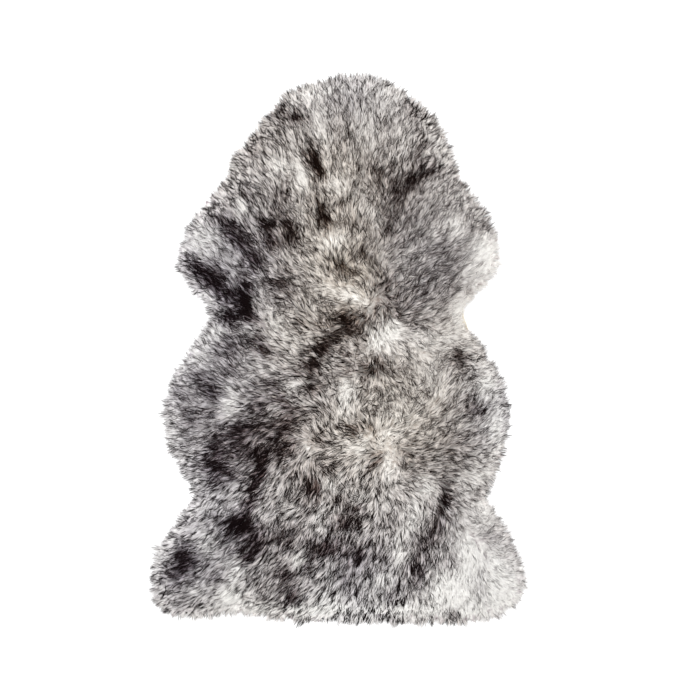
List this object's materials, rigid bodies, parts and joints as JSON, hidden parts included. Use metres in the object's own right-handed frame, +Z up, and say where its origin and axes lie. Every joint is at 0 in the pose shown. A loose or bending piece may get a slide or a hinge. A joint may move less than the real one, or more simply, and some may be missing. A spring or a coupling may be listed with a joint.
{
  "type": "sheepskin rug",
  "caption": "Whole sheepskin pelt rug lying flat, with a thin tanned hide and a deep lumpy fleece that ends in short drooping locks all round its rim.",
  "frame": {"origin": "on the floor, under the middle of the rug's bounding box", "axes": "+Z up out of the wool, +Y along the rug from the wide hind end to the narrow neck end, +X across it"},
  "size_m": [0.6478, 0.949, 0.0491],
  "materials": {
    "tanned_skin": "matt suede, cream",
    "wool": "long ivory-grey wool with brown-black tips"
  },
  "bodies": {
    "root": {"hide": "tanned_skin", "fleece": "wool"}
  },
  "joints": []
}
